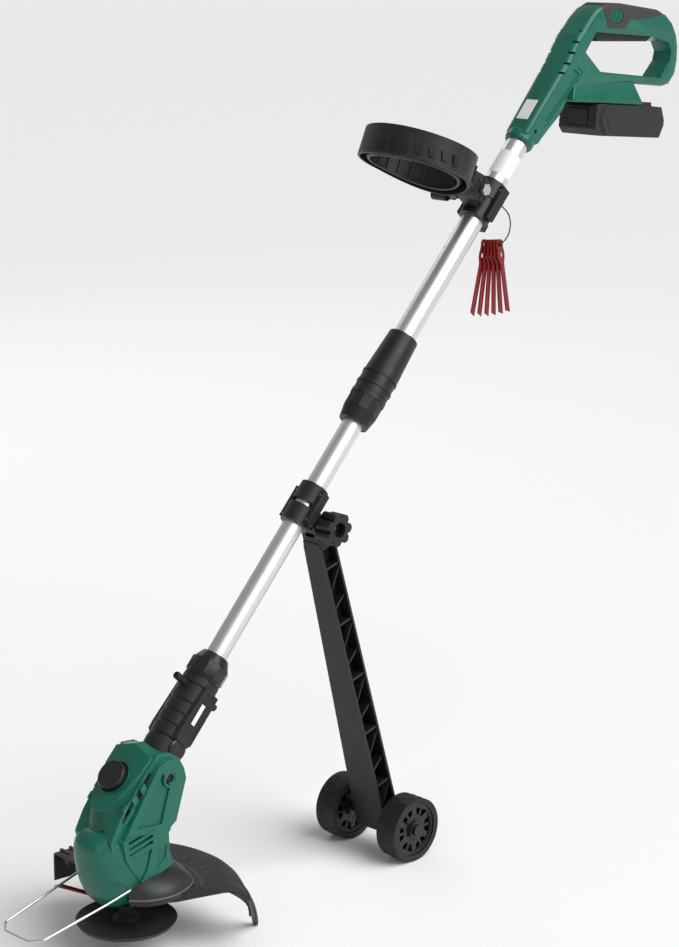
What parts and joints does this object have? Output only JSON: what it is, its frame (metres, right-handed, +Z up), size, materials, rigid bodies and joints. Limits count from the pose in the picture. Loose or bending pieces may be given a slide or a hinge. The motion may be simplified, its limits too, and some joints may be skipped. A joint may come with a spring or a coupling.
{
  "type": "lawn edger",
  "caption": "Cordless lawn edger and grass trimmer with a telescopic shaft, tilting cutting head, swept guard, wheel strut, loop handle and D-grip battery handle.",
  "frame": {"origin": "on the ground, under the middle of the machine's bounding box, standing on its two wheels and the guard's tail", "axes": "-X forwards to the cutting head, +X back to the grip, +Y to the far (user's right) side, +Z up"},
  "size_m": [1.133, 0.2421, 1.0248],
  "materials": {
    "green_shell": "gloss",
    "black_plastic": "satin",
    "soft_black": "matte",
    "battery_plastic": "matte",
    "tube_aluminium": "satin",
    "bright_steel": "satin",
    "red_plastic": "satin",
    "cell_metal": "satin",
    "board_green": "satin",
    "lead_sheath": "matte",
    "string_black": "matte"
  },
  "bodies": {
    "root": {"upper_tube": "tube_aluminium", "power_lead": "lead_sheath", "coupling_sleeve": "black_plastic", "coupling_collet": "black_plastic", "handle_shell_left": "green_shell", "handle_shell_right": "green_shell", "grip_overmould": "soft_black", "handle_screws": "bright_steel", "trigger_spring": "bright_steel", "lock_off_spring": "bright_steel", "trigger_switch": "black_plastic", "control_board": "board_green", "terminal_block": "black_plastic"},
    "trigger": {"trigger": "black_plastic"},
    "lock_off_button": {"lock_off_button": "green_shell"},
    "battery": {"battery_tray": "battery_plastic", "battery_lid": "battery_plastic", "battery_cells": "cell_metal", "battery_latch_spring": "bright_steel"},
    "battery_latch": {"battery_latch": "battery_plastic"},
    "aux_clamp": {"aux_clamp_collar": "black_plastic", "aux_clamp_jaw": "black_plastic", "aux_clamp_bolts": "bright_steel"},
    "aux_handle": {"loop_handle": "black_plastic"},
    "aux_knob": {"aux_knob": "black_plastic"},
    "spares": {"spare_blades": "red_plastic", "string_loop": "string_black", "string_knot": "string_black"},
    "coupling_nut": {"coupling_nut": "black_plastic"},
    "lower_shaft": {"lower_tube": "tube_aluminium", "motor_lead": "lead_sheath"},
    "wheel_clamp": {"strut_clamp_collar": "black_plastic", "strut_clamp_jaw": "black_plastic", "strut_clamp_bolts": "bright_steel"},
    "strut": {"wheel_strut": "black_plastic", "wheel_axle": "bright_steel"},
    "strut_knob": {"strut_knob": "black_plastic"},
    "wheel_left": {"wheel_tread_left": "black_plastic", "wheel_hub_left": "black_plastic"},
    "wheel_right": {"wheel_tread_right": "black_plastic", "wheel_hub_right": "black_plastic"},
    "neck": {"neck_shell_left": "black_plastic", "neck_shell_right": "black_plastic", "swivel_lock_spring": "bright_steel"},
    "neck_nut": {"neck_nut": "black_plastic"},
    "swivel_lock": {"swivel_lock": "black_plastic"},
    "head": {"head_shell_left": "green_shell", "head_shell_right": "green_shell", "head_screws": "bright_steel", "tilt_pin": "bright_steel", "tilt_button_spring": "bright_steel", "motor_can": "bright_steel", "motor_endcap": "tube_aluminium", "blade_guard": "black_plastic", "guard_dome": "black_plastic"},
    "tilt_button": {"tilt_button": "black_plastic"},
    "wire_guard": {"wire_guard": "bright_steel"},
    "rotor": {"motor_armature": "bright_steel", "glide_disc": "black_plastic"},
    "blade": {"cutting_blade": "red_plastic"}
  },
  "joints": [
    {"name": "telescope_slide", "type": "slide", "parent": "root", "child": "lower_shaft", "axis": [0.693, 0, 0.7209], "range_m": [-0.1, 0.085]},
    {"name": "coupling_nut_turn", "type": "hinge", "parent": "root", "child": "coupling_nut", "pos_m": [-0.02799, -0.0198, 0.56726], "axis": [0.693, 0, 0.7209], "range_deg": [-60, 0]},
    {"name": "wheel_clamp_slide", "type": "slide", "parent": "lower_shaft", "child": "wheel_clamp", "axis": [0.693, 0, 0.7209], "range_m": [-0.12, 0]},
    {"name": "strut_fold", "type": "hinge", "parent": "wheel_clamp", "child": "strut", "pos_m": [-0.10896, -0.0198, 0.44118], "axis": [0, 1, 0], "range_deg": [-70, 20]},
    {"name": "strut_knob_turn", "type": "hinge", "parent": "wheel_clamp", "child": "strut_knob", "pos_m": [-0.10896, -0.0198, 0.44118], "axis": [0, 1, 0], "continuous": true},
    {"name": "wheel_left_spin", "type": "hinge", "parent": "strut", "child": "wheel_left", "pos_m": [0.0005, -0.0198, 0.0405], "axis": [0, 1, 0], "continuous": true},
    {"name": "wheel_right_spin", "type": "hinge", "parent": "strut", "child": "wheel_right", "pos_m": [0.0005, -0.0198, 0.0405], "axis": [0, 1, 0], "continuous": true},
    {"name": "neck_swivel", "type": "hinge", "parent": "lower_shaft", "child": "neck", "pos_m": [-0.3745, -0.0198, 0.2068], "axis": [0.693, 0, 0.7209], "range_deg": [0, 180]},
    {"name": "neck_nut_turn", "type": "hinge", "parent": "neck", "child": "neck_nut", "pos_m": [-0.28441, -0.0198, 0.30052], "axis": [0.693, 0, 0.7209], "range_deg": [-60, 0]},
    {"name": "swivel_lock_press", "type": "slide", "parent": "neck", "child": "swivel_lock", "axis": [0.7209, 0, -0.693], "range_m": [0, 0.0022], "stiffness_N_per_m": 800, "deforming": ["swivel_lock_spring"]},
    {"name": "head_tilt", "type": "hinge", "parent": "neck", "child": "head", "pos_m": [-0.3745, -0.0198, 0.2068], "axis": [0, 1, 0], "range_deg": [-15, 30]},
    {"name": "tilt_button_press", "type": "slide", "parent": "head", "child": "tilt_button", "axis": [0.7209, 0, -0.693], "range_m": [0, 0.004], "stiffness_N_per_m": 600, "deforming": ["tilt_button_spring"]},
    {"name": "wire_guard_fold", "type": "hinge", "parent": "head", "child": "wire_guard", "pos_m": [-0.4385, -0.0198, 0.0958], "axis": [0, 1, 0], "range_deg": [0, 70]},
    {"name": "spindle_spin", "type": "hinge", "parent": "head", "child": "rotor", "pos_m": [-0.4125, -0.0198, 0.0468], "axis": [0, 0, 1], "continuous": true},
    {"name": "blade_swing", "type": "hinge", "parent": "rotor", "child": "blade", "pos_m": [-0.399, 0.0057, 0.0468], "axis": [0, 0, 1], "range_deg": [-60, 60]},
    {"name": "aux_clamp_slide", "type": "slide", "parent": "root", "child": "aux_clamp", "axis": [0.693, 0, 0.7209], "range_m": [-0.08, 0.04]},
    {"name": "loop_handle_tilt", "type": "hinge", "parent": "aux_clamp", "child": "aux_handle", "pos_m": [0.15812, -0.0198, 0.81281], "axis": [0, 1, 0], "range_deg": [-45, 30]},
    {"name": "aux_knob_turn", "type": "hinge", "parent": "aux_clamp", "child": "aux_knob", "pos_m": [0.15812, -0.0198, 0.81281], "axis": [0, 1, 0], "continuous": true},
    {"name": "spares_swing", "type": "hinge", "parent": "aux_clamp", "child": "spares", "pos_m": [0.2166, -0.0198, 0.7885], "axis": [0, 1, 0], "range_deg": [-40, 12]},
    {"name": "battery_slide", "type": "slide", "parent": "root", "child": "battery", "axis": [0.9954, 0, -0.0958], "range_m": [0, 0.09]},
    {"name": "battery_latch_press", "type": "slide", "parent": "battery", "child": "battery_latch", "axis": [0.9954, 0, -0.0958], "range_m": [0, 0.0024], "stiffness_N_per_m": 600, "deforming": ["battery_latch_spring"]},
    {"name": "trigger_pull", "type": "hinge", "parent": "root", "child": "trigger", "pos_m": [0.5025, -0.0198, 0.9798], "axis": [0, 1, 0], "range_deg": [0, 4], "stiffness_Nm_per_rad": 0.6, "deforming": ["trigger_spring"]},
    {"name": "lock_off_press", "type": "slide", "parent": "root", "child": "lock_off_button", "axis": [0, 1, 0], "range_m": [0, 0.003], "stiffness_N_per_m": 500, "deforming": ["lock_off_spring"]}
  ]
}
